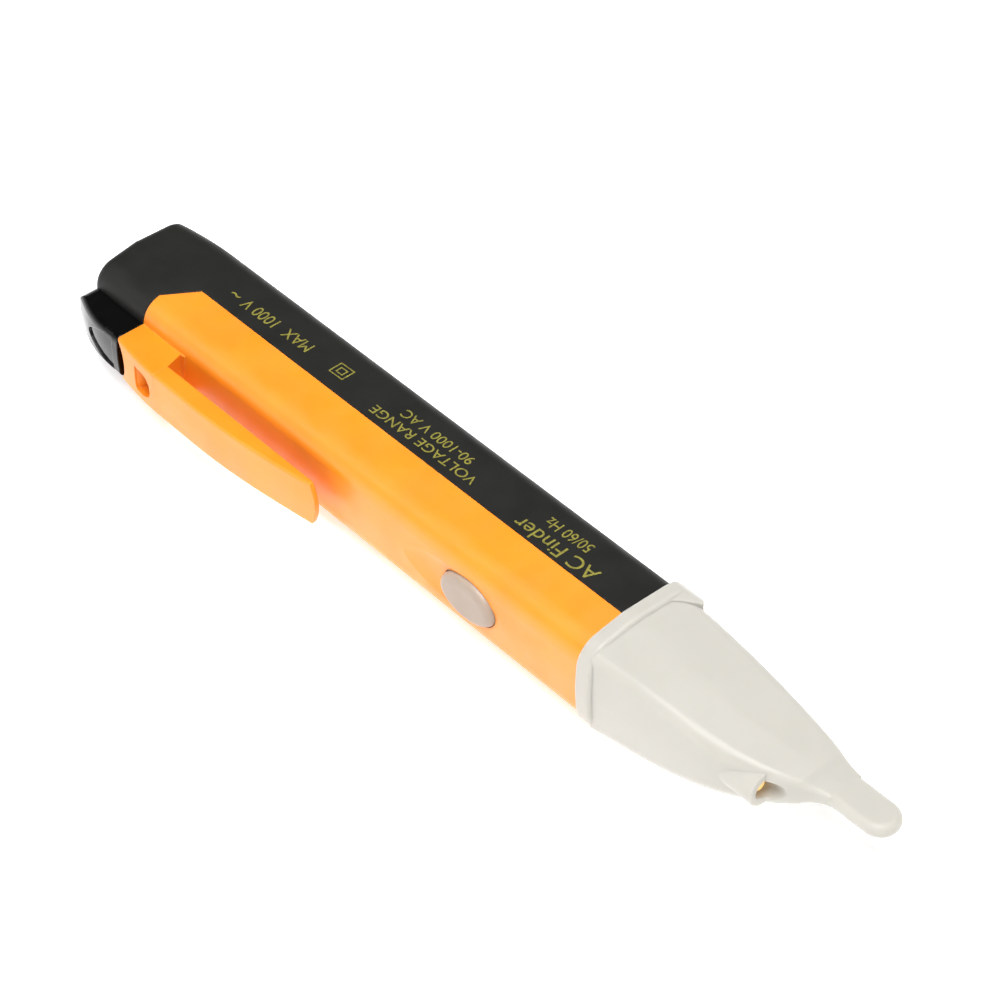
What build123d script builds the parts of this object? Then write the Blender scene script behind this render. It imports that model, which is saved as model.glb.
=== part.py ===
"""Non contact voltage tester: a pen with a two-colour sleeve and a pull-out tray.

The pen lies on its side. Its tip points along +X, its black back faces +Y, its clip
faces -Y, and it is symmetric about a horizontal mid plane. Stations along the pen are
measured from the rear of the nose's collar. Heights across it are measured from a line
close to the cells' axis, on the planes that section, layer and face give. All sizes are
in millimetres.
"""
import os
from math import cos, radians, sin

from build123d import *

os.makedirs("parts", exist_ok=True)

# ---------------------------------------------------------------- driving dimensions
PEN_LENGTH = 155.0
NOSE_LENGTH = 46.5                        # collar's rear edge to the blade's end
TAIL = NOSE_LENGTH - PEN_LENGTH

BACK = 9.14                               # black back, across the pen
FRONT = -9.22                             # orange front at its crown
FRONT_CROWN = 0.42
PARTING = -0.82                           # where black meets orange
HALF_BACK = 8.0                           # half-thickness beside the back
HALF_PARTING = 8.29                       # half-thickness at the parting line
HALF_FRONT = 7.01                         # half-thickness beside the front
BACK_RADIUS = 2.6
PARTING_RADIUS = 1.0
FRONT_RADIUS = 3.8
WALL = 1.4
END_WALL = 1.4
SEAM = 0.1                                # gap between mouldings that meet

COLLAR_LIP = 0.5                          # how far the collar stands proud of the sleeve
COLLAR_WIDTH = 2.7
LOBE_LENGTH = 5.8                         # rounded lobe of the collar, on the back
LOBE_HEIGHT = 1.45
LOBE_ROUND = 3.4                          # rounding of its far corners
SPIGOT_LENGTH = 7.0
SPIGOT_WALL = 1.1
NOSE_WALL = 1.3
BLADE_CENTRE = 3.9                        # blade's centre line, across the pen
BLADE_HALF_WIDTH = 2.95
BLADE_HALF_THICKNESS = 1.15
SHOULDER = 33.6                           # where the nose's top face ends at the blade

COVER_REAR = -95.8                        # orange cover's rear end
COVER_SHOULDER = -91.5                    # where its parting line turns in
CLIP_ROOT = -85.5                         # the clip leaves its root block here
CLIP_TIP = -50.7
CLIP_HALF = 3.9
CLIP_INNER = -12.3                        # clip's straight inner face
RIDGE_CROWN = 0.2
RIDGE_CROWN_RADIUS = 25.0
CLIP_OUTER = -15.35                       # furthest point of the clip's bow

BUTTON_X = -22.2
BUTTON_LENGTH = 11.0
BUTTON_WIDTH = 7.2
BUTTON_TOP = -10.05
FLANGE_TOP = -7.4                         # button's flange, just inside the cover
FLANGE_BOTTOM = -6.95

CELL_DIAMETER = 10.5                      # size AAA
CELL_LENGTH = 44.5
CELL_AXIS = 2.35
CELL_REAR = -102.6                        # negative end of the rear cell
PLATE = 0.3                               # contact plates

BOARD_TOP = -4.8                          # component side, towards the button
BOARD_THICKNESS = 1.0
BOARD_REAR = -40.0
BOARD_FRONT = 17.0
BOARD_HALF = 4.8
SPINE = 0.7                               # tray's wall between board and cells
TRAY_HALF = 6.15
TRAY_REAR = -106.9
RAIL = 0.8

LAMP_AXIS = -3.55                         # flashlight, across the pen
LAMP_RADIUS = 1.5
HOOD_RADIUS = 2.7
HOOD_END = 30.0

# --------------------------------------------------- where the pen stands in its frame
COLLAR_X = PEN_LENGTH / 2 - NOSE_LENGTH
AXIS_Y = -(CLIP_OUTER + BACK + LOBE_HEIGHT) / 2
MID_Z = HALF_PARTING + COLLAR_LIP


def section(x):
    """Plane across the pen: sketch X runs to the back, sketch Y up."""
    return Plane(origin=(COLLAR_X + x, AXIS_Y, MID_Z), x_dir=(0, 1, 0), z_dir=(1, 0, 0))


def layer(z=0.0):
    """Plane along the pen, z above the mid plane: sketch Y runs to the back."""
    return Plane(origin=(COLLAR_X, AXIS_Y, MID_Z + z), x_dir=(1, 0, 0), z_dir=(0, 0, 1))


def face(y):
    """Plane facing the clip side: sketch X runs to the tip, sketch Y up."""
    return Plane(origin=(COLLAR_X, AXIS_Y + y, MID_Z), x_dir=(1, 0, 0), z_dir=(0, -1, 0))


# ------------------------------------------------------------------- shared outlines
def barrel(upper, crown_y, radii):
    """Closed section from its upper corners, back first, and its crown on the front."""
    lower = [(y, -z) for y, z in reversed(upper)]
    crown_radius = 3 * upper[-1][1]
    with BuildSketch() as outline:
        with BuildLine():
            FilletPolyline(
                *upper,
                (crown_y, 0),
                *lower,
                radius=[*radii, crown_radius, *radii[::-1]],
                close=True,
            )
        make_face()
    return outline.sketch


def sleeve_outline(grow=0.0):
    """The sleeve's section, grown or shrunk all round."""
    with BuildSketch() as outline:
        add(
            barrel(
                [(BACK, HALF_BACK), (PARTING, HALF_PARTING), (FRONT + FRONT_CROWN, HALF_FRONT)],
                FRONT,
                [BACK_RADIUS, PARTING_RADIUS, FRONT_RADIUS],
            )
        )
        if grow:
            offset(amount=grow, mode=Mode.REPLACE)
    return outline.sketch


def tail_outline(back_in, all_in):
    """The sleeve's section near its rounded end, drawn in at the back and all round."""
    front = FRONT + all_in
    return barrel(
        [
            (BACK - back_in - all_in, HALF_BACK - all_in),
            (PARTING, HALF_PARTING - all_in),
            (front + FRONT_CROWN, HALF_FRONT - all_in),
        ],
        front,
        [BACK_RADIUS, PARTING_RADIUS, FRONT_RADIUS - 0.4 * all_in],
    )


def nose_outline(back, front, half, back_radius, front_radius, shrink=0.0):
    """One section of the nose: the sleeve's section in small, shrunk by a wall or not."""
    middle = front + 0.455 * (back - front)
    crown = 0.03 * half
    return barrel(
        [
            (back - shrink, 0.97 * half - shrink),
            (middle, half - shrink),
            (front + crown + shrink, 0.87 * half - shrink),
        ],
        front + shrink,
        [back_radius - 0.4 * shrink, 1.5 * half, front_radius - 0.4 * shrink],
    )


def cover_region(inset=0.0):
    """The orange cover's area from above, cut back by inset from its parting line."""
    with BuildSketch() as outline:
        with BuildLine():
            Polyline(
                (1, PARTING - inset),
                (COVER_SHOULDER + inset, PARTING - inset),
                (COVER_REAR + inset, PARTING - 4.8),
                (COVER_REAR + inset, CLIP_OUTER - 2),
                (1, CLIP_OUTER - 2),
                close=True,
            )
        make_face()
    return outline.sketch


def ridge_section(outer, inner, corner=0.5):
    """Section of the clip and its root: straight sides, rounded edges, crowned top."""
    edge = outer + RIDGE_CROWN
    corner = min(corner, 0.4 * (inner - edge))
    with BuildSketch() as outline:
        with BuildLine():
            FilletPolyline(
                (inner, CLIP_HALF),
                (edge, CLIP_HALF),
                (outer, 0),
                (edge, -CLIP_HALF),
                (inner, -CLIP_HALF),
                radius=[0, corner, RIDGE_CROWN_RADIUS, corner, 0],
                close=True,
            )
        make_face()
    return outline.sketch


def block(low, high, mode=Mode.ADD):
    """Block between two corners, given along, across and up from the mid plane."""
    middle = [(a + b) / 2 for a, b in zip(low, high)]
    with Locations((COLLAR_X + middle[0], AXIS_Y + middle[1], MID_Z + middle[2])):
        Box(*[b - a for a, b in zip(low, high)], mode=mode)


def pair(low, high, mode=Mode.ADD):
    """A block above the mid plane and its mirror image below."""
    block(low, high, mode)
    block((low[0], low[1], -high[2]), (high[0], high[1], -low[2]), mode)


# ------------------------------------------------------------------------ back shell
LAP = 1.2                                 # tongue behind the parting line
LAP_DEPTH = 0.7                           # its outer face, in from the sleeve's surface
# tapered tail: distance from its end, and how far its back is drawn in there
TAIL_STATIONS = [(COVER_REAR - TAIL, 0.0), (6.0, 0.35), (1.6, 1.0)]
TAIL_ROUND = 1.6                          # rounding of its end, in steps of an arc
ROUND_STEPS = [0, 22, 45, 67, 90]
TAIL_CAVITY_BACK = 6.0                    # the cavity is narrower behind the cells
ANCHOR_REAR = -105.0                      # slot that takes the tail cap's anchor
ANCHOR_FRONT = -98.0
ANCHOR_HALF = 2.6

with BuildPart() as sleeve_tail:
    for from_end, back_in in TAIL_STATIONS:
        with BuildSketch(section(TAIL + from_end)):
            add(tail_outline(back_in, 0.0))
    loft()
    for angle in ROUND_STEPS:
        from_end = TAIL_ROUND * (1 - sin(radians(angle)))
        with BuildSketch(section(TAIL + from_end)):
            add(tail_outline(TAIL_STATIONS[-1][1], TAIL_ROUND * (1 - cos(radians(angle)))))
    loft()

with BuildPart() as back_shell:
    add(sleeve_tail.part)
    with BuildSketch(section(COVER_REAR)):
        add(sleeve_outline())
    extrude(amount=-COVER_REAR - SEAM)
    with BuildSketch(section(TAIL + END_WALL)):
        add(sleeve_outline(-WALL))
        with Locations((TAIL_CAVITY_BACK - MID_Z, 0)):
            Rectangle(2 * MID_Z, 2 * MID_Z, mode=Mode.INTERSECT)
    extrude(amount=CELL_REAR - TAIL - END_WALL, mode=Mode.SUBTRACT)
    with BuildSketch(section(CELL_REAR - 0.2)):
        add(sleeve_outline(-WALL))
    extrude(amount=-CELL_REAR + 1, mode=Mode.SUBTRACT)
    # the orange cover's window, and the slot for the tail cap's anchor
    with BuildSketch(layer(-MID_Z)):
        add(cover_region())
    extrude(amount=2 * MID_Z, mode=Mode.SUBTRACT)
    block(
        (ANCHOR_REAR, FRONT - 1, -ANCHOR_HALF),
        (ANCHOR_FRONT, FRONT + WALL + 1, ANCHOR_HALF),
        Mode.SUBTRACT,
    )
    # tongue that the cover laps over along both sides
    with BuildSketch(section(COVER_SHOULDER - 1)):
        add(sleeve_outline(-LAP_DEPTH))
        add(sleeve_outline(-WALL), mode=Mode.SUBTRACT)
        with Locations((PARTING - LAP / 2, 0)):
            Rectangle(LAP, 2 * MID_Z, mode=Mode.INTERSECT)
    extrude(amount=-COVER_SHOULDER - 2)
back_shell.part.label = "back_shell"
export_step(back_shell.part, "parts/back_shell.step")

# ----------------------------------------------------------------------- front cover
BUTTON_GAP = 0.1
RECESS_X = -25.5                          # thumb recess round the button
RECESS_LENGTH = 21.0
RECESS_DEPTH = 0.75
RECESS_RADIUS = 12.0                      # across the pen, so that it is lens-shaped
# the ridge's bow, as stations along the pen and how far out its top stands there
RIDGE_BOW = [(COVER_REAR, -14.15), (-93.0, -14.6), (-89.5, -15.03), (CLIP_ROOT, -15.3)]
NOTCH_DEPTH = 0.9                         # undercut of the clip's root
SCALLOP_FLOOR = -11.6                     # thumbnail scallop in the ridge's rear end
SCALLOP_FRONT = -93.9
SCALLOP_RADIUS = 5.0
RELEASE_REAR = -90.6                      # hole for a release tool, in the ridge
RELEASE_FRONT = -86.6
RELEASE_HALF = 2.2

with BuildPart() as release_hole:
    with BuildSketch(layer(-RELEASE_HALF)):
        with BuildLine():
            Polyline(
                (RELEASE_REAR, CLIP_OUTER - 1),
                (RELEASE_FRONT, CLIP_OUTER - 1),
                (RELEASE_FRONT, FRONT + WALL + 1),
                (RELEASE_FRONT - 1.9, FRONT + WALL + 1),
                (RELEASE_FRONT - 1.9, FRONT - 1),
                (RELEASE_REAR, CLIP_OUTER + 0.8),
                close=True,
            )
        make_face()
    extrude(amount=2 * RELEASE_HALF)
    fillet(edges().filter_by(Axis.Y).group_by(Axis.X)[-1], radius=RELEASE_HALF - 0.1)

with BuildPart() as thumb_recess:
    with BuildSketch(layer()):
        with BuildLine():
            floor = ThreePointArc(
                (RECESS_X - RECESS_LENGTH / 2, FRONT),
                (RECESS_X, FRONT + RECESS_DEPTH),
                (RECESS_X + RECESS_LENGTH / 2, FRONT),
            )
            axis_y = FRONT + RECESS_DEPTH - RECESS_RADIUS
            Polyline(
                floor @ 1,
                (RECESS_X + RECESS_LENGTH / 2, axis_y),
                (RECESS_X - RECESS_LENGTH / 2, axis_y),
                floor @ 0,
            )
        make_face()
    revolve(axis=Axis((COLLAR_X, AXIS_Y + axis_y, MID_Z), (1, 0, 0)))

with BuildPart() as front_cover:
    with BuildSketch(section(COVER_REAR - 2)):
        add(sleeve_outline())
        add(sleeve_outline(-WALL), mode=Mode.SUBTRACT)
    extrude(amount=-COVER_REAR + 2 - SEAM)
    with BuildSketch(layer(-MID_Z)):
        add(cover_region(SEAM))
    extrude(amount=2 * MID_Z, mode=Mode.INTERSECT)
    # rebate over the back shell's tongue
    with BuildSketch(section(COVER_SHOULDER - 4)):
        add(sleeve_outline(-LAP_DEPTH + SEAM / 2))
        with Locations((PARTING - LAP / 2 - SEAM / 2, 0)):
            Rectangle(LAP + SEAM, 2 * MID_Z, mode=Mode.INTERSECT)
    extrude(amount=-COVER_SHOULDER + 4, mode=Mode.SUBTRACT)
    # root of the clip
    for x, outer in RIDGE_BOW:
        with BuildSketch(section(x + (SEAM if x == COVER_REAR else 0))):
            add(ridge_section(outer, FRONT + WALL / 2))
    loft()
    with BuildSketch(layer(-MID_Z)):
        with BuildLine():
            Polyline(
                (CLIP_ROOT - NOTCH_DEPTH, FRONT),
                (CLIP_ROOT + 1, FRONT),
                (CLIP_ROOT + 1, CLIP_INNER),
                (CLIP_ROOT, CLIP_INNER),
                close=True,
            )
        make_face()
    extrude(amount=2 * MID_Z, mode=Mode.SUBTRACT)
    with BuildSketch(face(SCALLOP_FLOOR)):
        with Locations((SCALLOP_FRONT - SCALLOP_RADIUS, 0)):
            Circle(SCALLOP_RADIUS)
    extrude(amount=SCALLOP_FLOOR - CLIP_OUTER + 1, mode=Mode.SUBTRACT)
    add(release_hole.part, mode=Mode.SUBTRACT)
    # thumb recess and the button's opening
    add(thumb_recess.part, mode=Mode.SUBTRACT)
    with BuildSketch(face(FRONT - 1)):
        with Locations((BUTTON_X, 0)):
            Ellipse(BUTTON_LENGTH / 2 + BUTTON_GAP, BUTTON_WIDTH / 2 + BUTTON_GAP)
    extrude(amount=-WALL - 2, mode=Mode.SUBTRACT)
front_cover.part.label = "front_cover"
export_step(front_cover.part, "parts/front_cover.step")

# ------------------------------------------------------------------------------ clip
CLIP_BOW = [
    (CLIP_ROOT, -15.3),
    (-80.0, -15.35),
    (-70.0, -15.25),
    (-62.0, -14.62),
    (-56.0, -13.9),
    (-50.0, -12.95),
]

with BuildPart() as pocket_clip:
    for x, outer in CLIP_BOW:
        with BuildSketch(section(x)):
            add(ridge_section(outer, CLIP_INNER))
    loft()
    with BuildSketch(face(CLIP_INNER + 1)):
        with BuildLine():
            end = ThreePointArc(
                (CLIP_TIP - 1.1, -CLIP_HALF - 0.1),
                (CLIP_TIP, 0),
                (CLIP_TIP - 1.1, CLIP_HALF + 0.1),
            )
            Polyline(end @ 1, (CLIP_ROOT, CLIP_HALF + 0.1), (CLIP_ROOT, -CLIP_HALF - 0.1), end @ 0)
        make_face()
    extrude(amount=CLIP_INNER - CLIP_OUTER + 2, mode=Mode.INTERSECT)
pocket_clip.part.label = "pocket_clip"
export_step(pocket_clip.part, "parts/pocket_clip.step")

# -------------------------------------------------------------------------- tail cap
# glossy thumb piece behind the cover, which carries the ridge on to the tail
CAP_BOW = [
    (TAIL, -11.7),
    (-105.0, -13.1),
    (-102.0, -13.85),
    (-99.0, -14.15),
    (COVER_REAR, -14.25),
]
CAP_CORNER = 1.2
CAP_END_RADIUS = 2.2
PATCH_DEPTH = 0.3                         # arched thumb patch, sunk into its face
PATCH_REAR = -104.2
PATCH_FRONT = -97.2
CAP_ROOT = -5.0                           # the ridge is carried in to the rounded tail

with BuildPart() as thumb_patch:
    with BuildSketch(face(-11.0)):
        with BuildLine():
            arch = Spline(
                (PATCH_FRONT, -3.1),
                (-99.2, -2.9),
                (-102.0, -1.9),
                (PATCH_REAR, 0),
                (-102.0, 1.9),
                (-99.2, 2.9),
                (PATCH_FRONT, 3.1),
            )
            Line(arch @ 1, arch @ 0)
        make_face()
    extrude(amount=6)
    for x, outer in CAP_BOW:
        with BuildSketch(section(x)):
            add(ridge_section(outer + PATCH_DEPTH, CAP_ROOT, CAP_CORNER))
    loft(mode=Mode.SUBTRACT)

with BuildPart() as tail_cap:
    for x, outer in CAP_BOW:
        with BuildSketch(section(x)):
            add(ridge_section(outer, CAP_ROOT, CAP_CORNER))
    loft()
    with BuildSketch(face(CAP_ROOT)):
        with Locations((COVER_REAR, 0)):
            RectangleRounded(2 * (COVER_REAR - TAIL), 2 * CLIP_HALF, CAP_END_RADIUS)
    extrude(amount=CAP_ROOT - CLIP_OUTER, mode=Mode.INTERSECT)
    add(thumb_patch.part, mode=Mode.SUBTRACT)
    add(sleeve_tail.part, mode=Mode.SUBTRACT)
    # anchor that plugs into the shell
    block(
        (ANCHOR_REAR, FRONT - 1, -ANCHOR_HALF),
        (ANCHOR_FRONT, FRONT + WALL, ANCHOR_HALF),
    )
tail_cap.part.label = "tail_cap"
export_step(tail_cap.part, "parts/tail_cap.step")

# ------------------------------------------------------------------------ button cap
FLANGE_ENDS = 0.9                         # flange, beyond the cap's ends
FLANGE_SIDES = 0.35
DOME_ROUND = 1.3

with BuildPart() as button_cap:
    with BuildSketch(face(FLANGE_BOTTOM)):
        with Locations((BUTTON_X, 0)):
            Ellipse(BUTTON_LENGTH / 2, BUTTON_WIDTH / 2)
    extrude(amount=FLANGE_BOTTOM - BUTTON_TOP)
    fillet(edges().group_by(Axis.Y)[0], radius=DOME_ROUND)
    with BuildSketch(face(FLANGE_BOTTOM)):
        with Locations((BUTTON_X, 0)):
            Ellipse(BUTTON_LENGTH / 2 + FLANGE_ENDS, BUTTON_WIDTH / 2 + FLANGE_SIDES)
    extrude(amount=FLANGE_BOTTOM - FLANGE_TOP)
button_cap.part.label = "button_cap"
export_step(button_cap.part, "parts/button_cap.step")

# ------------------------------------------------------------------------- nose cone
# stations along the nose: back, front, half-thickness, radii of the back and front corners
NOSE_STATIONS = [
    (2.3, 9.0, -8.95, 8.3, 2.2, 1.3),
    (10.0, 8.8, -8.3, 7.55, 2.0, 1.6),
    (16.0, 8.6, -7.85, 6.65, 1.9, 1.9),
    (22.0, 8.35, -6.9, 5.4, 1.7, 2.0),
    (28.0, 7.95, -4.75, 4.0, 1.4, 1.6),
    (SHOULDER, 7.25, -1.2, 2.45, 0.9, 1.0),
]
# neck that runs from the shoulder into the blade, in the same terms
NECK_STATIONS = [
    (SHOULDER, 7.25, -1.2, 2.45, 0.9, 1.0),
    (34.4, 7.15, -0.5, 1.95, 0.8, 0.8),
    (35.6, 7.0, 0.3, 1.5, 0.6, 0.6),
    (37.4, 6.8, 1.0, 1.1, 0.4, 0.4),
]
CAVITY_END = 28.0
SLOT_HALF = 0.35                          # antenna slot inside the blade
SLOT_END = 42.7
ANTENNA_LOW = 2.9
ANTENNA_HIGH = 4.9

with BuildPart() as collar:
    with BuildSketch(section(0)):
        add(sleeve_outline(COLLAR_LIP))
    extrude(amount=COLLAR_WIDTH)
    collar_ends = edges().filter_by(lambda e: e.bounding_box().size.X < 0.01)
    fillet(collar_ends.group_by(Axis.X)[-1], radius=0.8)
    fillet(edges().group_by(Axis.X)[0], radius=0.4)

with BuildPart() as lobe:
    with BuildSketch(layer(-HALF_PARTING)):
        with BuildLine():
            top = Spline(
                (0.05, BACK + 0.4),
                (1.0, BACK + 1.15),
                (2.4, BACK + LOBE_HEIGHT),
                (4.2, BACK + 0.95),
                (LOBE_LENGTH, BACK - 0.6),
            )
            sweep_line = Spline(
                (LOBE_LENGTH, BACK - 0.6),
                (4.5, 7.3),
                (3.2, 6.2),
                (COLLAR_WIDTH - 0.4, 4.2),
            )
            Polyline(sweep_line @ 1, (0.05, 4.2), top @ 0)
        make_face()
    extrude(amount=2 * HALF_PARTING)
    with BuildSketch(section(0)):
        with Locations((BACK + LOBE_HEIGHT - MID_Z, 0)):
            RectangleRounded(2 * MID_Z, 2 * HALF_PARTING, LOBE_ROUND)
    extrude(amount=LOBE_LENGTH, mode=Mode.INTERSECT)

with BuildPart() as blade:
    with BuildSketch(layer(-BLADE_HALF_THICKNESS)):
        with Locations((NOSE_LENGTH - BLADE_HALF_WIDTH, BLADE_CENTRE)):
            Circle(BLADE_HALF_WIDTH)
        with Locations(((NOSE_LENGTH - BLADE_HALF_WIDTH + CAVITY_END) / 2, BLADE_CENTRE)):
            Rectangle(NOSE_LENGTH - BLADE_HALF_WIDTH - CAVITY_END, 2 * BLADE_HALF_WIDTH)
    extrude(amount=2 * BLADE_HALF_THICKNESS)
    flat_faces = faces().filter_by(Axis.Z)
    fillet(flat_faces.edges(), radius=BLADE_HALF_THICKNESS - 0.1)

with BuildPart() as nose_cone:
    add(collar.part)
    add(lobe.part)
    for x, *shape in NOSE_STATIONS:
        with BuildSketch(section(x)):
            add(nose_outline(*shape))
    loft()
    for x, *shape in NECK_STATIONS:
        with BuildSketch(section(x)):
            add(nose_outline(*shape))
    loft()
    add(blade.part)
    # hood over the flashlight
    with BuildSketch(section(19)):
        with Locations((LAMP_AXIS, 0)):
            Circle(HOOD_RADIUS)
    extrude(amount=HOOD_END - 19)
    # spigot that plugs into the sleeve
    with BuildSketch(section(-SPIGOT_LENGTH)):
        add(sleeve_outline(-WALL - SEAM))
    extrude(amount=SPIGOT_LENGTH + 1)
    with BuildSketch(section(-SPIGOT_LENGTH)):
        add(sleeve_outline(-WALL - SEAM - SPIGOT_WALL))
    extrude(amount=SPIGOT_LENGTH + 2, mode=Mode.SUBTRACT)
    for x, *shape in NOSE_STATIONS[:-1]:
        with BuildSketch(section(x - (1 if x < COLLAR_WIDTH else 0))):
            add(nose_outline(*shape, NOSE_WALL))
    loft(mode=Mode.SUBTRACT)
    block((CAVITY_END - 1, 2.6, -SLOT_HALF), (SLOT_END, 5.3, SLOT_HALF), Mode.SUBTRACT)
    with BuildSketch(section(20)):
        with Locations((LAMP_AXIS, 0)):
            Circle(LAMP_RADIUS + 0.1)
    extrude(amount=13.5, mode=Mode.SUBTRACT)
    with BuildSketch(section(20)):
        with Locations((LAMP_AXIS, 0)):
            Circle(LAMP_RADIUS + 0.35)
    extrude(amount=5.4, mode=Mode.SUBTRACT)
nose_cone.part.label = "nose_cone"
export_step(nose_cone.part, "parts/nose_cone.step")

# ---------------------------------------------------------------------- battery tray
BOARD_BACK = BOARD_TOP + BOARD_THICKNESS
FRONT_WALL = CELL_REAR + 2 * CELL_LENGTH + PLATE + 0.1
TRAY_WALL = 1.3
TRAY_BACK = 5.7                           # tray's end walls, towards the black back
RAIL_BACK = 4.6                           # its side rails
BRACKET_FRONT = -3.6                      # bracket that carries the board's screw
BRACKET_HALF = 2.4
SCREW_X = -5.6
SCREW_RADIUS = 0.8
STRIP_Z = -3.6                            # centre of the tail contact's strip
STRIP_HALF = 1.0
TAB_Z = 2.5                               # centre of the front contact's tab
TAB_HALF = 1.0
TONGUE_INNER = 4.1                        # tongues that hold the nose
TONGUE_OUTER = 5.1
HOOK_OUTER = 5.7
PUSH_RIB = RELEASE_FRONT + 0.2

with BuildPart() as battery_tray:
    block((TRAY_REAR, BOARD_BACK, -TRAY_HALF), (FRONT_WALL + TRAY_WALL, BOARD_BACK + SPINE, TRAY_HALF))
    pair((TRAY_REAR, BOARD_BACK, TRAY_HALF - RAIL), (FRONT_WALL + TRAY_WALL, RAIL_BACK, TRAY_HALF))
    pair((FRONT_WALL, -2.0, TONGUE_INNER), (0.5, 3.0, TONGUE_OUTER))
    # hooks over the board's rear end
    pair(
        (BOARD_REAR, BOARD_TOP - 0.6, BOARD_HALF + SEAM),
        (BOARD_REAR + 2, BOARD_BACK + 0.2, HOOK_OUTER),
    )
    pair(
        (BOARD_REAR, BOARD_TOP - 0.6, BOARD_HALF - 0.5),
        (BOARD_REAR + 2, BOARD_TOP - 0.05, HOOK_OUTER),
    )
    # rib that a tool in the release hole pushes on
    block((PUSH_RIB, BOARD_BACK - 2.8, -2.0), (PUSH_RIB + 1, BOARD_BACK + 0.2, 2.0))
    block((TRAY_REAR, BOARD_BACK, -TRAY_HALF), (TRAY_REAR + TRAY_WALL, TRAY_BACK, TRAY_HALF))
    block((FRONT_WALL, BOARD_BACK, -TRAY_HALF), (FRONT_WALL + TRAY_WALL, TRAY_BACK, TRAY_HALF))
    block((FRONT_WALL, BOARD_BACK, -BRACKET_HALF), (BRACKET_FRONT, 0, BRACKET_HALF))
    # slots for the contacts' tabs, and the screw's pilot hole
    block(
        (TRAY_REAR + TRAY_WALL, BOARD_BACK - 1, STRIP_Z - STRIP_HALF - SEAM),
        (TRAY_REAR + TRAY_WALL + PLATE + 0.2, BOARD_BACK + 1, STRIP_Z + STRIP_HALF + SEAM),
        Mode.SUBTRACT,
    )
    block(
        (FRONT_WALL - PLATE - SEAM, BOARD_BACK - 1, TAB_Z - TAB_HALF - SEAM),
        (FRONT_WALL, BOARD_BACK + 1, TAB_Z + TAB_HALF + SEAM),
        Mode.SUBTRACT,
    )
    with BuildSketch(face(BOARD_BACK - 1)):
        with Locations((SCREW_X, 0)):
            Circle(SCREW_RADIUS)
    extrude(amount=-4.2, mode=Mode.SUBTRACT)
battery_tray.part.label = "battery_tray"
export_step(battery_tray.part, "parts/battery_tray.step")

# ----------------------------------------------------------------------------- cells
NUB_LENGTH = 0.9
NUB_RADIUS = 1.9

for number, rear in enumerate((CELL_REAR, CELL_REAR + CELL_LENGTH), start=1):
    with BuildPart() as cell:
        with BuildSketch(section(rear)):
            with Locations((CELL_AXIS, 0)):
                Circle(CELL_DIAMETER / 2)
        extrude(amount=CELL_LENGTH - NUB_LENGTH)
        fillet(edges(), radius=0.5)
        with BuildSketch(section(rear + CELL_LENGTH - NUB_LENGTH - 0.1)):
            with Locations((CELL_AXIS, 0)):
                Circle(NUB_RADIUS)
        extrude(amount=NUB_LENGTH + 0.1)
    cell.part.label = f"cell_{number}"
    export_step(cell.part, f"parts/cell_{number}.step")

# -------------------------------------------------------------------- cell contacts
PLATE_HALF = 3.8
SPRING_WIRE = 0.25                        # wire radius
SPRING_RADIUS = 2.9
SPRING_TURNS = 3
plate_front = TRAY_REAR + TRAY_WALL + PLATE

with BuildPart() as tail_contact:
    block((plate_front - PLATE, -2.6, -PLATE_HALF), (plate_front, 6.0, PLATE_HALF))
    block(
        (plate_front - PLATE, BOARD_BACK - PLATE, STRIP_Z - STRIP_HALF),
        (plate_front, -2.0, STRIP_Z + STRIP_HALF),
    )
    block(
        (plate_front - PLATE, BOARD_BACK - PLATE, STRIP_Z - STRIP_HALF),
        (BOARD_REAR - 0.1, BOARD_BACK, STRIP_Z + STRIP_HALF),
    )
tail_contact.part.label = "tail_contact"
export_step(tail_contact.part, "parts/tail_contact.step")

spring_length = CELL_REAR - plate_front - 2 * SPRING_WIRE - 0.04
spring_base = (
    COLLAR_X + plate_front + SPRING_WIRE + 0.02,
    AXIS_Y + CELL_AXIS,
    MID_Z,
)

with BuildPart() as cell_spring:
    with BuildLine():
        coil = Helix(
            spring_length / SPRING_TURNS,
            spring_length,
            SPRING_RADIUS,
            center=spring_base,
            direction=(1, 0, 0),
        )
    with BuildSketch(Plane(origin=coil @ 0, z_dir=coil % 0)):
        Circle(SPRING_WIRE)
    sweep(path=coil, is_frenet=True)
cell_spring.part.label = "cell_spring"
export_step(cell_spring.part, "parts/cell_spring.step")

with BuildPart() as front_contact:
    block((FRONT_WALL - PLATE, -1.5, -PLATE_HALF), (FRONT_WALL, 5.5, PLATE_HALF))
    block(
        (FRONT_WALL - PLATE, BOARD_TOP + 0.05, TAB_Z - TAB_HALF),
        (FRONT_WALL, -1.0, TAB_Z + TAB_HALF),
    )
front_contact.part.label = "front_contact"
export_step(front_contact.part, "parts/front_contact.step")

# --------------------------------------------------------------------- circuit board
BOARD_STEP = 6.0                          # the board narrows inside the nose
BOARD_NOSE_HALF = 3.4
ANTENNA_X = 14.5

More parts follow.
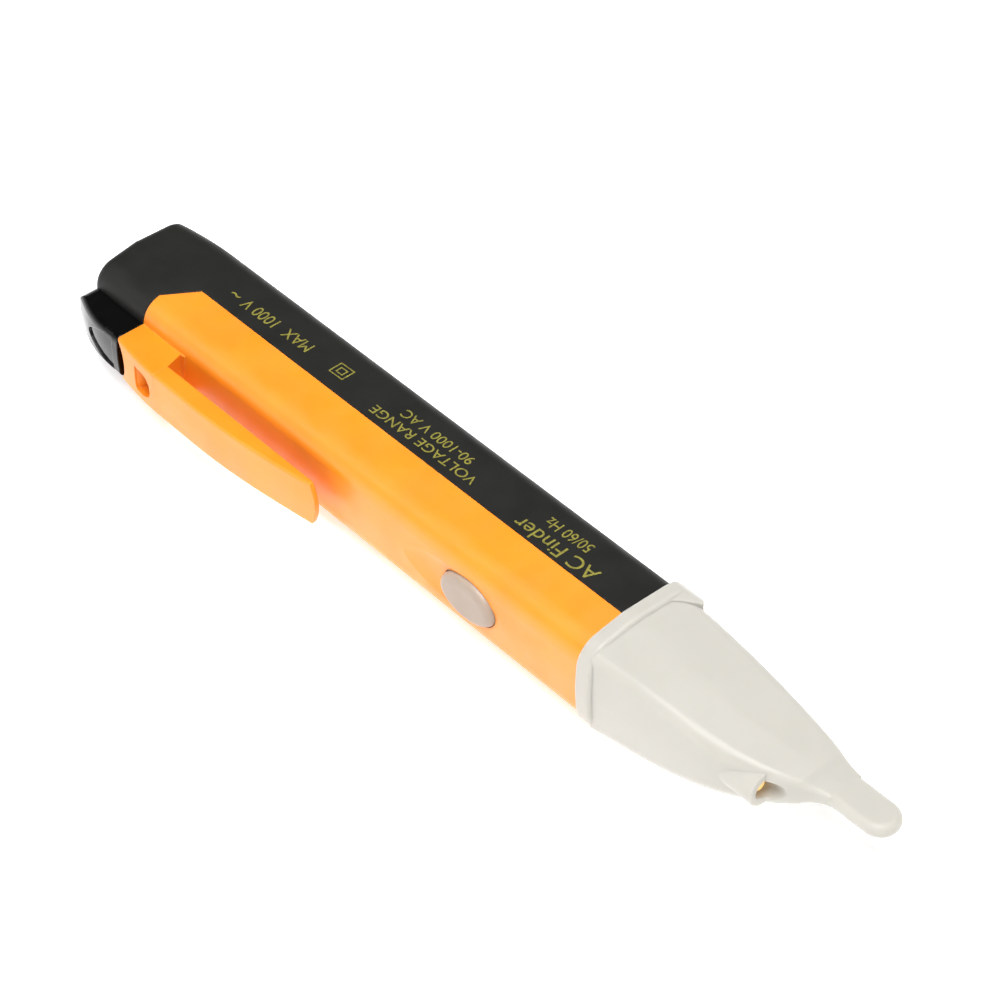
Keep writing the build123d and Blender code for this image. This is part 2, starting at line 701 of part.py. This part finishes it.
with BuildPart() as circuit_board:
    block((BOARD_REAR, BOARD_TOP, -BOARD_HALF), (BOARD_STEP, BOARD_BACK, BOARD_HALF))
    block((BOARD_STEP - 1, BOARD_TOP, -BOARD_NOSE_HALF), (BOARD_FRONT, BOARD_BACK, BOARD_NOSE_HALF))
    block(
        (FRONT_WALL - PLATE - 0.05, BOARD_TOP - 1, TAB_Z - TAB_HALF - 0.05),
        (FRONT_WALL + 0.05, BOARD_BACK + 1, TAB_Z + TAB_HALF + 0.05),
        Mode.SUBTRACT,
    )
    with BuildSketch(face(BOARD_TOP - 1)):
        with Locations((SCREW_X, 0)):
            Circle(SCREW_RADIUS + 0.1)
    extrude(amount=-BOARD_THICKNESS - 2, mode=Mode.SUBTRACT)
circuit_board.part.label = "circuit_board"
export_step(circuit_board.part, "parts/circuit_board.step")

with BuildPart() as board_screw:
    with BuildSketch(face(BOARD_TOP)):
        with Locations((SCREW_X, 0)):
            Circle(1.5)
    extrude(amount=0.8)
    fillet(edges().group_by(Axis.Y)[0], radius=0.4)
    with BuildSketch(face(BOARD_TOP)):
        with Locations((SCREW_X, 0)):
            Circle(SCREW_RADIUS)
    extrude(amount=-4.0)
    block((SCREW_X - 1.0, BOARD_TOP - 1, -0.15), (SCREW_X + 1.0, BOARD_TOP - 0.45, 0.15), Mode.SUBTRACT)
    block((SCREW_X - 0.15, BOARD_TOP - 1, -1.0), (SCREW_X + 0.15, BOARD_TOP - 0.45, 1.0), Mode.SUBTRACT)
board_screw.part.label = "board_screw"
export_step(board_screw.part, "parts/board_screw.step")

# ---------------------------------------------------------------------------- switch
SWITCH_HALF = 2.25
SWITCH_HEIGHT = 1.7
PLUNGER_RADIUS = 1.2
PLUNGER_BASE = BOARD_TOP - 1.0

with BuildPart() as switch_body:
    block(
        (BUTTON_X - SWITCH_HALF, BOARD_TOP - SWITCH_HEIGHT, -SWITCH_HALF),
        (BUTTON_X + SWITCH_HALF, BOARD_TOP, SWITCH_HALF),
    )
    with BuildSketch(face(BOARD_TOP - SWITCH_HEIGHT - 1)):
        with Locations((BUTTON_X, 0)):
            Circle(PLUNGER_RADIUS + 0.06)
    extrude(amount=-SWITCH_HEIGHT - 0.5, mode=Mode.SUBTRACT)
    for lead in (BUTTON_X - 1.5, BUTTON_X + 1.5):
        pair((lead - 0.3, BOARD_TOP - 0.2, SWITCH_HALF - 0.1), (lead + 0.3, BOARD_TOP, SWITCH_HALF + 0.7))
switch_body.part.label = "switch_body"
export_step(switch_body.part, "parts/switch_body.step")

with BuildPart() as switch_plunger:
    with BuildSketch(face(PLUNGER_BASE)):
        with Locations((BUTTON_X, 0)):
            Circle(PLUNGER_RADIUS)
    extrude(amount=PLUNGER_BASE - FLANGE_BOTTOM - 0.02)
    fillet(edges().group_by(Axis.Y)[0], radius=0.2)
switch_plunger.part.label = "switch_plunger"
export_step(switch_plunger.part, "parts/switch_plunger.step")

# ------------------------------------------------------------- components on the board
BUZZER_X = -11.6
BUZZER_RADIUS = 3.8
CHIP_X = 1.6

with BuildPart() as buzzer:
    with BuildSketch(face(BOARD_TOP)):
        with Locations((BUZZER_X, 0)):
            Circle(BUZZER_RADIUS)
    extrude(amount=2.2)
    fillet(edges().group_by(Axis.Y)[0], radius=0.3)
    with BuildSketch(face(BOARD_TOP - 2.2)):
        with Locations((BUZZER_X, 0)):
            Circle(0.6)
    extrude(amount=-1.2, mode=Mode.SUBTRACT)
buzzer.part.label = "buzzer"
export_step(buzzer.part, "parts/buzzer.step")

with BuildPart() as controller_chip:
    block((CHIP_X - 2.45, BOARD_TOP - 1.5, -1.95), (CHIP_X + 2.45, BOARD_TOP - 0.15, 1.95))
    for step in (-1.5, -0.5, 0.5, 1.5):
        lead = CHIP_X + 1.27 * step
        pair((lead - 0.2, BOARD_TOP - 0.9, 1.9), (lead + 0.2, BOARD_TOP - 0.7, 2.35))
        pair((lead - 0.2, BOARD_TOP - 0.9, 2.15), (lead + 0.2, BOARD_TOP, 2.35))
        pair((lead - 0.2, BOARD_TOP - 0.2, 2.15), (lead + 0.2, BOARD_TOP, 3.0))
controller_chip.part.label = "controller_chip"
export_step(controller_chip.part, "parts/controller_chip.step")

# small parts as groups of separate solids: places along the board and above it
RESISTOR_PLACES = [(-36, 2.5), (-36, 0.5), (-33.5, 2.5), (-31, 2.5), (8.6, 1.6), (8.6, -1.6)]
CAPACITOR_PLACES = [(-31, -0.5), (-33.5, 0.3), (-1.6, 3.8), (11.4, -2.2)]
TRANSISTOR_PLACES = [(-28.6, -2.6), (-28.6, 2.6)]


def on_board(x, z, height):
    """Centre of a component of that height standing on the board."""
    return (COLLAR_X + x, AXIS_Y + BOARD_TOP - height / 2, MID_Z + z)


with BuildPart() as resistors:
    with Locations(*[on_board(x, z, 0.5) for x, z in RESISTOR_PLACES]):
        Box(1.6, 0.5, 0.8)
resistors.part.label = "resistors"
export_step(resistors.part, "parts/resistors.step")

with BuildPart() as capacitors:
    with Locations(*[on_board(x, z, 0.9) for x, z in CAPACITOR_PLACES]):
        Box(1.6, 0.9, 1.0)
capacitors.part.label = "capacitors"
export_step(capacitors.part, "parts/capacitors.step")

with BuildPart() as transistors:
    with Locations(*[on_board(x, z, 1.0) for x, z in TRANSISTOR_PLACES]):
        Box(1.3, 1.0, 2.9)
transistors.part.label = "transistors"
export_step(transistors.part, "parts/transistors.step")

# ------------------------------------------------------------------------------ lamps
ALERT_X = 13.0
LAMP_REAR = 24.4
LAMP_TIP = 29.4
LEAD_HALF_PITCH = 1.27
LEAD_HALF = 0.22

with BuildPart() as alert_lamp:
    block((ALERT_X - 1.6, BOARD_TOP - 0.8, -1.4), (ALERT_X + 1.6, BOARD_TOP, 1.4))
    with BuildSketch(face(BOARD_TOP - 0.8)):
        with Locations((ALERT_X, 0)):
            Circle(1.1)
    extrude(amount=0.5)
    fillet(edges().group_by(Axis.Y)[0], radius=0.35)
alert_lamp.part.label = "alert_lamp"
export_step(alert_lamp.part, "parts/alert_lamp.step")

with BuildPart() as flashlight_lamp:
    with BuildSketch(section(LAMP_REAR)):
        with Locations((LAMP_AXIS, 0)):
            Circle(LAMP_RADIUS)
    extrude(amount=LAMP_TIP - LAMP_REAR)
    fillet(edges().group_by(Axis.X)[-1], radius=LAMP_RADIUS - 0.05)
    with BuildSketch(section(LAMP_REAR)):
        with Locations((LAMP_AXIS, 0)):
            Circle(LAMP_RADIUS + 0.25)
    extrude(amount=0.8)
flashlight_lamp.part.label = "flashlight_lamp"
export_step(flashlight_lamp.part, "parts/flashlight_lamp.step")

with BuildPart() as lamp_leads:
    pair(
        (BOARD_FRONT - 1.5, BOARD_BACK, LEAD_HALF_PITCH - LEAD_HALF),
        (LAMP_REAR - 1.0, BOARD_BACK + 2 * LEAD_HALF, LEAD_HALF_PITCH + LEAD_HALF),
    )
    pair(
        (LAMP_REAR - 1.4, BOARD_BACK, LEAD_HALF_PITCH - LEAD_HALF),
        (LAMP_REAR, LAMP_AXIS + LEAD_HALF, LEAD_HALF_PITCH + LEAD_HALF),
    )
lamp_leads.part.label = "lamp_leads"
export_step(lamp_leads.part, "parts/lamp_leads.step")

# ----------------------------------------------------------------------- sense antenna
ANTENNA_HALF = 0.15

with BuildPart() as sense_antenna:
    with BuildSketch(layer(-ANTENNA_HALF)):
        with BuildLine():
            Polyline(
                (ANTENNA_X, BOARD_BACK),
                (ANTENNA_X + 1.5, BOARD_BACK),
                (ANTENNA_X + 2.5, ANTENNA_LOW),
                (SLOT_END - 0.6, ANTENNA_LOW),
                (SLOT_END - 0.6, ANTENNA_HIGH),
                (ANTENNA_X, ANTENNA_HIGH),
                close=True,
            )
        make_face()
    extrude(amount=2 * ANTENNA_HALF)
sense_antenna.part.label = "sense_antenna"
export_step(sense_antenna.part, "parts/sense_antenna.step")
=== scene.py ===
"""Looks of the non contact voltage tester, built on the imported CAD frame.

The pen lies on its side: its tip points along +X, its black back faces +Y and its
clip faces -Y. Lengths are in metres.
"""

from math import atan2, cos, radians, sin

import bmesh
import bpy
from mathutils import Matrix, Vector
from mathutils.bvhtree import BVHTree


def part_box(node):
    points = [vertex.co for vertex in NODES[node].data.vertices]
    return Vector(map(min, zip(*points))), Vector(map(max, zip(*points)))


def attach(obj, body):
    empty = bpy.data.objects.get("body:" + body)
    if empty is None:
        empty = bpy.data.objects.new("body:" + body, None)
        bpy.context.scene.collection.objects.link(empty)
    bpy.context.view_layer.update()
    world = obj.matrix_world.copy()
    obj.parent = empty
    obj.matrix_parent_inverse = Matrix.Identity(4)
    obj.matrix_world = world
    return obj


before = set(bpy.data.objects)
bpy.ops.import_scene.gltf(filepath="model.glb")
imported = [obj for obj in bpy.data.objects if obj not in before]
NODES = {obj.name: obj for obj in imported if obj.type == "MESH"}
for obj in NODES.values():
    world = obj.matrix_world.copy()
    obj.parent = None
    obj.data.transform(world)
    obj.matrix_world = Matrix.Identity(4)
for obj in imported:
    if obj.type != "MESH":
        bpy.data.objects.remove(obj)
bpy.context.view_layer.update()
MM = 0.001

# ---------------------------------------------------------------------- material kit
BEVEL_SAMPLES = 4
FLAT_COSINE = 0.995                       # between face and rounded normal, off an edge
EDGE_COSINE = 0.86                        # and right on one
COARSE_GRAIN = 1.1 * MM


class Paint:
    """A node material being made, with short calls for adding and joining its nodes."""

    def __init__(self, name, **inputs):
        self.material = bpy.data.materials.new(name)
        self.material.use_nodes = True
        self.tree = self.material.node_tree
        self.shader = self.tree.nodes["Principled BSDF"]
        self.place = self.add("TexCoord").outputs["Object"]
        self.normal = None
        self.set(**inputs)

    def add(self, kind, settings=None, **inputs):
        """New node; its settings are attributes, and its inputs numbers or outputs."""
        node = self.tree.nodes.new("ShaderNode" + kind)
        for name, value in (settings or {}).items():
            setattr(node, name, value)
        for name, value in inputs.items():
            self.join(node, name.replace("_", " "), value)
        return node

    def join(self, node, socket, value):
        """Gives an input a value, or links an output to it."""
        slot = node.inputs[socket]
        if isinstance(value, bpy.types.NodeSocket):
            self.tree.links.new(value, slot)
        else:
            slot.default_value = value

    def set(self, **inputs):
        """Inputs of the material's shader."""
        for name, value in inputs.items():
            self.join(self.shader, name.replace("_", " "), value)

    def math(self, operation, first, second):
        """Result of a sum, product or the like of two numbers."""
        node = self.add("Math", {"operation": operation})
        self.join(node, 0, first)
        self.join(node, 1, second)
        return node.outputs[0]

    def axis(self, name):
        """One coordinate of the point, in metres."""
        return self.add("SeparateXYZ", Vector=self.place).outputs[name]

    def noise(self, size, detail=2.0, stretch=(1, 1, 1)):
        """Noise of about 0 to 1 whose lumps are size across, or longer where stretched."""
        scale = [1 / (size * s) for s in stretch]
        place = self.add("Mapping", Vector=self.place, Scale=scale).outputs[0]
        return self.add("TexNoise", Vector=place, Scale=1.0, Detail=detail).outputs[0]

    def cells(self, size):
        """Distance to the nearest centre in a pattern whose cells are size across."""
        return self.add("TexVoronoi", Vector=self.place, Scale=1 / size).outputs["Distance"]

    def ramp(self, value, start, end, low=0.0, high=1.0):
        """Low below start, high above end, and a smooth run between them."""
        node = self.add("MapRange", {"interpolation_type": "SMOOTHSTEP"}, Value=value)
        ends = {"From Min": start, "From Max": end, "To Min": low, "To Max": high}
        for name, number in ends.items():
            self.join(node, name, number)
        return node.outputs[0]

    def blend(self, amount, first, second):
        """Two colours mixed by an amount."""
        return self.add("MixRGB", Fac=amount, Color1=first, Color2=second).outputs[0]

    def soften(self, radius):
        """Rounds the edges that the light sees, and gives a mask of where they are."""
        self.normal = self.add("Bevel", {"samples": BEVEL_SAMPLES}, Radius=radius).outputs[0]
        self.set(Normal=self.normal)
        dot = self.add("VectorMath", {"operation": "DOT_PRODUCT"})
        self.join(dot, 0, self.normal)
        self.join(dot, 1, self.add("NewGeometry").outputs["Normal"])
        return self.ramp(dot.outputs["Value"], FLAT_COSINE, EDGE_COSINE)

    def relief(self, height, depth):
        """Adds a bump of a given depth to the surface."""
        bump = self.add("Bump", Height=height, Distance=depth, Strength=1.0)
        if self.normal:
            self.join(bump, "Normal", self.normal)
        self.normal = bump.outputs[0]
        self.set(Normal=self.normal)


def moulded(
    name, colour, worn, grain, depth, roughness, soft=0.25 * MM, rub=1.0, cloudy=0.9, **inputs
):
    """Injection-moulded plastic: spark-eroded grain, faint clouding and rubbed edges."""
    paint = Paint(name, **inputs)
    edges = paint.soften(soft)
    cloud = paint.noise(9 * MM, 4.0)
    dim = [cloudy * c for c in colour[:3]] + [1]
    shade = paint.blend(paint.ramp(cloud, 0.3, 0.7), colour, dim)
    touched = paint.ramp(paint.noise(1.7 * MM, 3.0), 0.42, 0.62, 0.0, rub)
    paint.set(Base_Color=paint.blend(paint.math("MULTIPLY", edges, touched), shade, worn))
    rubbed = paint.ramp(paint.noise(5 * MM, 3.0), 0.3, 0.7, roughness - 0.05, roughness + 0.06)
    paint.set(Roughness=paint.math("SUBTRACT", rubbed, paint.math("MULTIPLY", edges, 0.08)))
    paint.relief(paint.noise(grain, 3.0), depth)
    paint.relief(paint.noise(COARSE_GRAIN, 1.0), 0.5 * depth)
    return paint


def metal(name, colour, dark, roughness, brush=(12, 1, 1)):
    """Plated metal with fine drawn lines, tarnished in patches."""
    paint = Paint(name, Metallic=1.0)
    edges = paint.soften(0.08 * MM)
    lines = paint.noise(0.09 * MM, 3.0, brush)
    tarnish = paint.ramp(paint.noise(1.6 * MM, 4.0), 0.45, 0.75)
    clean = paint.blend(edges, colour, [min(1.0, 1.25 * c) for c in colour[:3]] + [1])
    paint.set(Base_Color=paint.blend(tarnish, clean, dark))
    paint.set(Roughness=paint.ramp(lines, 0.3, 0.7, roughness - 0.07, roughness + 0.1))
    paint.relief(lines, 0.003 * MM)
    return paint


def finish(paint, *names):
    """Gives a material to CAD nodes."""
    for name in names:
        NODES[name].data.materials.clear()
        NODES[name].data.materials.append(paint.material)


# --------------------------------------------------------------------- sleeve and nose
orange = moulded(
    "orange_plastic", (0.88, 0.265, 0.008, 1), (0.95, 0.38, 0.05, 1), 0.3 * MM, 0.006 * MM, 0.4,
    Specular_IOR_Level=0.65,
)
finish(orange, "front_cover", "pocket_clip")

black = moulded(
    "black_plastic", (0.009, 0.009, 0.0075, 1), (0.03, 0.03, 0.027, 1), 0.26 * MM, 0.014 * MM, 0.5,
    Specular_IOR_Level=0.3,
)
finish(black, "back_shell")

gloss = Paint("black_polished", Specular_IOR_Level=0.36)
gloss_edges = gloss.soften(0.3 * MM)
scratches = gloss.ramp(gloss.noise(0.12 * MM, 2.0, (1, 30, 6)), 0.6, 0.72)
haze = gloss.ramp(gloss.noise(2.5 * MM, 4.0), 0.35, 0.7, 0.07, 0.17)
gloss.set(
    Roughness=gloss.math("ADD", haze, gloss.math("MULTIPLY", scratches, 0.15)),
    Base_Color=gloss.blend(gloss_edges, (0.0015, 0.0015, 0.0013, 1), (0.015, 0.015, 0.015, 1)),
)
gloss.relief(scratches, 0.0015 * MM)
gloss.relief(gloss.noise(2.0 * MM, 1.0), 0.006 * MM)
finish(gloss, "tail_cap")

white = moulded(
    "button_plastic", (0.36, 0.29, 0.235, 1), (0.5, 0.43, 0.36, 1), 0.35 * MM, 0.02 * MM, 0.42,
    Subsurface_Weight=0.4, Subsurface_Radius=(1.0, 0.8, 0.6), Subsurface_Scale=0.6 * MM,
)
finish(white, "button_cap")

milk = moulded(
    "milky_plastic", (0.47, 0.455, 0.415, 1), (0.5, 0.48, 0.44, 1), 0.5 * MM, 0.004 * MM, 0.33,
    soft=0.4 * MM, rub=0.0, cloudy=0.98,
    Subsurface_Weight=0.7, Subsurface_Radius=(1.0, 0.94, 0.84), Subsurface_Scale=1.3 * MM,
    Specular_IOR_Level=0.25,
)
finish(milk, "nose_cone")

# ---------------------------------------------------------------------- inside the pen
tray = moulded(
    "tray_plastic", (0.02, 0.02, 0.02, 1), (0.05, 0.05, 0.05, 1), 0.3 * MM, 0.008 * MM, 0.45
)
finish(tray, "battery_tray", "switch_plunger")


BAND_START = 0.68                         # of the cell's length
RULE_START, RULE_END = 0.65, 0.662        # thin line beside the band
PRINT_BLUR = 0.0005
NEGATIVE_END, POSITIVE_END = 0.7 * MM, 1.5 * MM
CAN_BLUR = 0.1 * MM


def cell_jacket(node):
    """Printed can of one cell: bare ends, a band at the positive end and a thin line."""
    low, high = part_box(node)
    paint = Paint("jacket_" + node, Coat_Weight=0.4, Coat_Roughness=0.15)
    edges = paint.soften(0.15 * MM)
    x = paint.axis("X")

    def along(share):
        return low[0] + share * (high[0] - low[0])

    band = paint.ramp(x, along(BAND_START), along(BAND_START + 2 * PRINT_BLUR))
    rule = paint.math(
        "MULTIPLY",
        paint.ramp(x, along(RULE_START), along(RULE_START + PRINT_BLUR)),
        paint.ramp(x, along(RULE_END), along(RULE_END - PRINT_BLUR)),
    )
    ends = paint.math(
        "MAXIMUM",
        paint.ramp(x, low[0] + NEGATIVE_END, low[0] + NEGATIVE_END - CAN_BLUR),
        paint.ramp(x, high[0] - POSITIVE_END, high[0] - POSITIVE_END + CAN_BLUR),
    )
    body = paint.blend(band, (0.03, 0.05, 0.12, 1), (0.55, 0.36, 0.12, 1))
    body = paint.blend(rule, body, (0.6, 0.6, 0.58, 1))
    scuffs = paint.ramp(paint.noise(3 * MM, 4.0), 0.3, 0.7, 0.0, 0.25)
    body = paint.blend(scuffs, body, (0.1, 0.1, 0.1, 1))
    bare = paint.math("MAXIMUM", ends, paint.math("MULTIPLY", edges, 0.5))
    paint.set(
        Base_Color=paint.blend(bare, body, (0.7, 0.69, 0.66, 1)),
        Metallic=paint.math("MAXIMUM", ends, 0.35),
        Roughness=paint.ramp(paint.noise(0.5 * MM, 3.0), 0.3, 0.7, 0.22, 0.36),
    )
    paint.relief(paint.noise(0.2 * MM, 2.0, (8, 1, 1)), 0.002 * MM)
    finish(paint, node)


cell_jacket("cell_1")
cell_jacket("cell_2")

nickel = metal("nickel", (0.72, 0.7, 0.65, 1), (0.42, 0.38, 0.32, 1), 0.28)
finish(nickel, "tail_contact", "cell_spring", "front_contact", "lamp_leads")
brass = metal("brass", (0.8, 0.55, 0.22, 1), (0.45, 0.27, 0.1, 1), 0.3)
finish(brass, "sense_antenna")
steel = metal("zinc_steel", (0.6, 0.6, 0.62, 1), (0.35, 0.34, 0.33, 1), 0.34, (1, 1, 1))
finish(steel, "board_screw")

board = Paint("circuit_board", Coat_Weight=0.6, Coat_Roughness=0.12)
board_edges = board.soften(0.1 * MM)
tracks = board.ramp(board.cells(1.9 * MM), 0.42, 0.46)
pads = board.ramp(board.cells(2.6 * MM), 0.1, 0.085)
mask = board.blend(tracks, (0.012, 0.12, 0.045, 1), (0.02, 0.2, 0.075, 1))
mask = board.blend(pads, mask, (0.68, 0.66, 0.6, 1))
board.set(
    Base_Color=board.blend(board_edges, mask, (0.32, 0.3, 0.16, 1)),
    Metallic=board.math("MULTIPLY", pads, 0.8),
    Roughness=board.ramp(board.noise(0.8 * MM, 3.0), 0.3, 0.7, 0.25, 0.42),
)
board.relief(tracks, 0.02 * MM)
finish(board, "circuit_board")

epoxy = moulded(
    "black_epoxy", (0.018, 0.018, 0.02, 1), (0.06, 0.06, 0.06, 1), 0.15 * MM, 0.01 * MM, 0.48,
    soft=0.1 * MM,
)
finish(epoxy, "switch_body", "buzzer", "controller_chip", "transistors")
ceramic = moulded(
    "ceramic", (0.42, 0.28, 0.14, 1), (0.66, 0.64, 0.6, 1), 0.12 * MM, 0.006 * MM, 0.35,
    soft=0.12 * MM,
)
finish(ceramic, "capacitors")
film = moulded(
    "resistor_film", (0.02, 0.02, 0.022, 1), (0.68, 0.67, 0.64, 1), 0.12 * MM, 0.005 * MM, 0.3,
    soft=0.14 * MM,
)
finish(film, "resistors")


def lens(name, colour, node, amount, painted_glow):
    """Cast epoxy lamp: partly see-through, slightly clouded, with faint flow lines."""
    paint = Paint(name, Transmission_Weight=amount, IOR=1.5)
    # the emission is painted light: a glow that brightens the shaded recess round a lamp that is
    # not switched on
    paint.set(Emission_Color=colour, Emission_Strength=painted_glow)
    paint.soften(0.1 * MM)
    cloud = paint.ramp(paint.noise(0.7 * MM, 3.0), 0.3, 0.75)
    paint.set(
        Base_Color=paint.blend(cloud, colour, [0.75 * c for c in colour[:3]] + [1]),
        Roughness=paint.ramp(paint.noise(0.4 * MM, 2.0), 0.3, 0.7, 0.05, 0.14),
    )
    paint.relief(paint.noise(0.6 * MM, 1.0), 0.01 * MM)
    finish(paint, node)


lens("red_epoxy", (0.7, 0.03, 0.02, 1), "alert_lamp", 0.5, 0.0)
# the flashlight lamp gets a painted glow, which lights its shaded recess
lens("clear_epoxy", (0.9, 0.6, 0.22, 1), "flashlight_lamp", 0.15, 0.5)

# ----------------------------------------------------------- print on the black shell
SHELL_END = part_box("back_shell")[1][0]    # front end of the black shell
CELLS_TO_AXIS = 2.35 * MM
AXIS_Y = 0.5 * sum(corner[1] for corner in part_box("cell_1")) - CELLS_TO_AXIS
PRINT_LIFT = 0.02 * MM                    # thickness of the ink
LONGEST_EDGE = 0.5 * MM                   # of the print, so that it follows the shell
SPLITS = 3
ABOVE = 1.0

shell_mesh = NODES["back_shell"].data
shell_tree = BVHTree.FromPolygons(
    [v.co for v in shell_mesh.vertices], [p.vertices for p in shell_mesh.polygons]
)

print_ink = Paint("olive_print")
worn_ink = print_ink.ramp(print_ink.noise(0.35 * MM, 3.0), 0.25, 0.6)
print_ink.set(
    Base_Color=print_ink.blend(worn_ink, (0.13, 0.115, 0.02, 1), (0.25, 0.225, 0.035, 1)),
    Roughness=print_ink.ramp(print_ink.noise(0.5 * MM, 2.0), 0.3, 0.7, 0.4, 0.55),
)
print_ink.relief(print_ink.noise(0.25 * MM, 2.0), 0.006 * MM)


def lay_print(name, mesh, start, end, height):
    """Lays a flat mesh on the shell's upper side, its width from start to end.

    The two points and the height are in millimetres. The points are measured from the
    shell's front end and from the pen's axis.
    """
    shape = bmesh.new()
    shape.from_mesh(mesh)
    bmesh.ops.triangulate(shape, faces=shape.faces)
    low, high = ([pick(v.co[i] for v in shape.verts) for i in range(2)] for pick in (min, max))
    a, b = (Vector((SHELL_END + x * MM, AXIS_Y + y * MM)) for x, y in (start, end))
    turn = atan2(*(b - a).yx)
    for vertex in shape.verts:
        u = (vertex.co[0] - low[0]) * (b - a).length / (high[0] - low[0])
        v = (vertex.co[1] - low[1]) * height * MM / (high[1] - low[1])
        spot = a + Vector((u * cos(turn) - v * sin(turn), u * sin(turn) + v * cos(turn)))
        vertex.co = (*spot, 0)
    for _ in range(SPLITS):
        long_edges = [e for e in shape.edges if e.calc_length() > LONGEST_EDGE]
        bmesh.ops.subdivide_edges(shape, edges=long_edges, cuts=1)
        bmesh.ops.triangulate(shape, faces=shape.faces)
    for vertex in shape.verts:
        above = Vector((vertex.co[0], vertex.co[1], ABOVE))
        vertex.co.z = shell_tree.ray_cast(above, Vector((0, 0, -1)))[0].z
    top = bmesh.ops.extrude_face_region(shape, geom=shape.faces[:], use_keep_orig=True)["geom"]
    for vertex in (g for g in top if isinstance(g, bmesh.types.BMVert)):
        vertex.co.z += PRINT_LIFT
    bmesh.ops.recalc_face_normals(shape, faces=shape.faces)
    shape.to_mesh(mesh)
    shape.free()
    piece = bpy.data.objects.new(name, mesh)
    bpy.context.scene.collection.objects.link(piece)
    mesh.materials.clear()
    mesh.materials.append(print_ink.material)
    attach(piece, "sleeve")


def lettering(name, words, start, end, height):
    """A line of print."""
    curve = bpy.data.curves.new(name + "_curve", "FONT")
    curve.body, curve.resolution_u = words, 6
    holder = bpy.data.objects.new(name + "_holder", curve)
    bpy.context.scene.collection.objects.link(holder)
    bpy.context.view_layer.update()
    mesh = bpy.data.meshes.new_from_object(holder)
    bpy.data.objects.remove(holder)
    lay_print(name, mesh, start, end, height)


def squares(name, start, end, height):
    """Two nested square outlines, the sign for double insulation."""
    corners = ((-1, -1), (1, -1), (1, 1), (-1, 1))
    points, faces = [], []
    for outer, inner in ((1.0, 0.86), (0.5, 0.36)):
        first = len(points)
        points += [(size * x, size * y, 0) for size in (outer, inner) for x, y in corners]
        for i, j in ((0, 1), (1, 2), (2, 3), (3, 0)):
            faces.append((first + i, first + j, first + 4 + j, first + 4 + i))
    mesh = bpy.data.meshes.new(name)
    mesh.from_pydata(points, [], faces)
    lay_print(name, mesh, start, end, height)


lettering("print_title", "AC Finder", (-7.4, 2.4), (-23.1, 1.9), 2.5)
lettering("print_frequency", "50/60 Hz", (-11.8, 5.3), (-20.2, 4.9), 1.9)
lettering("print_range_title", "VOLTAGE RANGE", (-32.6, 2.4), (-54.3, 2.0), 1.75)
lettering("print_range", "90-1000 V AC", (-36.0, 4.9), (-50.6, 4.7), 1.75)
squares("print_squares", (-61.9, 4.3), (-64.9, 4.2), 2.6)
lettering("print_rating", "MAX  1000 V", (-70.3, 3.7), (-85.2, 3.3), 2.1)
lettering("print_wave", "~", (-86.4, 2.7), (-88.2, 2.65), 0.6)

# ------------------------------------------------------------------ camera and room
CAMERA_PLACE = Vector((0.25695, -0.21677, 0.33117))
AZIMUTH, ELEVATION, ROLL = radians(48.94), radians(43.05), radians(-0.806)
LENS, SENSOR = 119.51, 36                 # millimetres
NEAREST, FARTHEST = 0.01, 20

back = Vector((sin(AZIMUTH) * cos(ELEVATION), -cos(AZIMUTH) * cos(ELEVATION), sin(ELEVATION)))
level = Vector((cos(AZIMUTH), sin(AZIMUTH), 0))
upright = back.cross(level)
right = cos(ROLL) * level + sin(ROLL) * upright
up = -sin(ROLL) * level + cos(ROLL) * upright
camera = bpy.data.objects.new("camera", bpy.data.cameras.new("camera"))
camera.matrix_world = Matrix(
    [[right[i], up[i], back[i], CAMERA_PLACE[i]] for i in range(3)] + [[0, 0, 0, 1]]
)
camera.data.lens, camera.data.sensor_width = LENS, SENSOR
camera.data.clip_start, camera.data.clip_end = NEAREST, FARTHEST
bpy.context.scene.collection.objects.link(camera)
bpy.context.scene.camera = camera

FLOOR_SIZE = 8
bpy.ops.mesh.primitive_plane_add(size=FLOOR_SIZE)
floor = bpy.context.object
floor.name = "floor"
pale = Paint(
    "floor", Base_Color=(0.85, 0.85, 0.85, 1), Roughness=0.9,
    Emission_Color=(1, 1, 1, 1), Emission_Strength=0.6,
)
floor.data.materials.append(pale.material)

# the room is bright at the horizon and dim overhead
HORIZON_LIGHT, OVERHEAD_LIGHT = 1.1, 0.08
FADE_START, FADE_END = 0.05, 0.5          # heights on the unit sphere round the pen
room = bpy.data.worlds.new("room")
room.use_nodes = True
nodes, links = room.node_tree.nodes, room.node_tree.links
direction = nodes.new("ShaderNodeSeparateXYZ")
links.new(nodes.new("ShaderNodeTexCoord").outputs["Generated"], direction.inputs[0])
fade = nodes.new("ShaderNodeMapRange")
links.new(direction.outputs["Z"], fade.inputs["Value"])
fade.inputs["From Min"].default_value = FADE_START
fade.inputs["From Max"].default_value = FADE_END
fade.inputs["To Min"].default_value = HORIZON_LIGHT
fade.inputs["To Max"].default_value = OVERHEAD_LIGHT
links.new(fade.outputs[0], nodes["Background"].inputs["Strength"])
nodes["Background"].inputs["Color"].default_value = (1, 1, 1, 1)
bpy.context.scene.world = room


def softbox(name, place, size, power):
    """Area light at a place, turned to the pen's middle; size is its width and height."""
    light = bpy.data.lights.new(name, "AREA")
    light.shape = "RECTANGLE"
    light.size, light.size_y, light.energy = *size, power
    lamp = bpy.data.objects.new(name, light)
    lamp.location = place
    lamp.rotation_euler = (-Vector(place)).to_track_quat("-Z", "Y").to_euler()
    bpy.context.scene.collection.objects.link(lamp)


softbox("key", place=(0.15, -0.15, 0.9), size=(0.6, 0.6), power=14)
softbox("strip", place=(-0.44, -0.4, 0.52), size=(0.05, 0.5), power=0.7)
bpy.context.scene.view_settings.view_transform = "Standard"
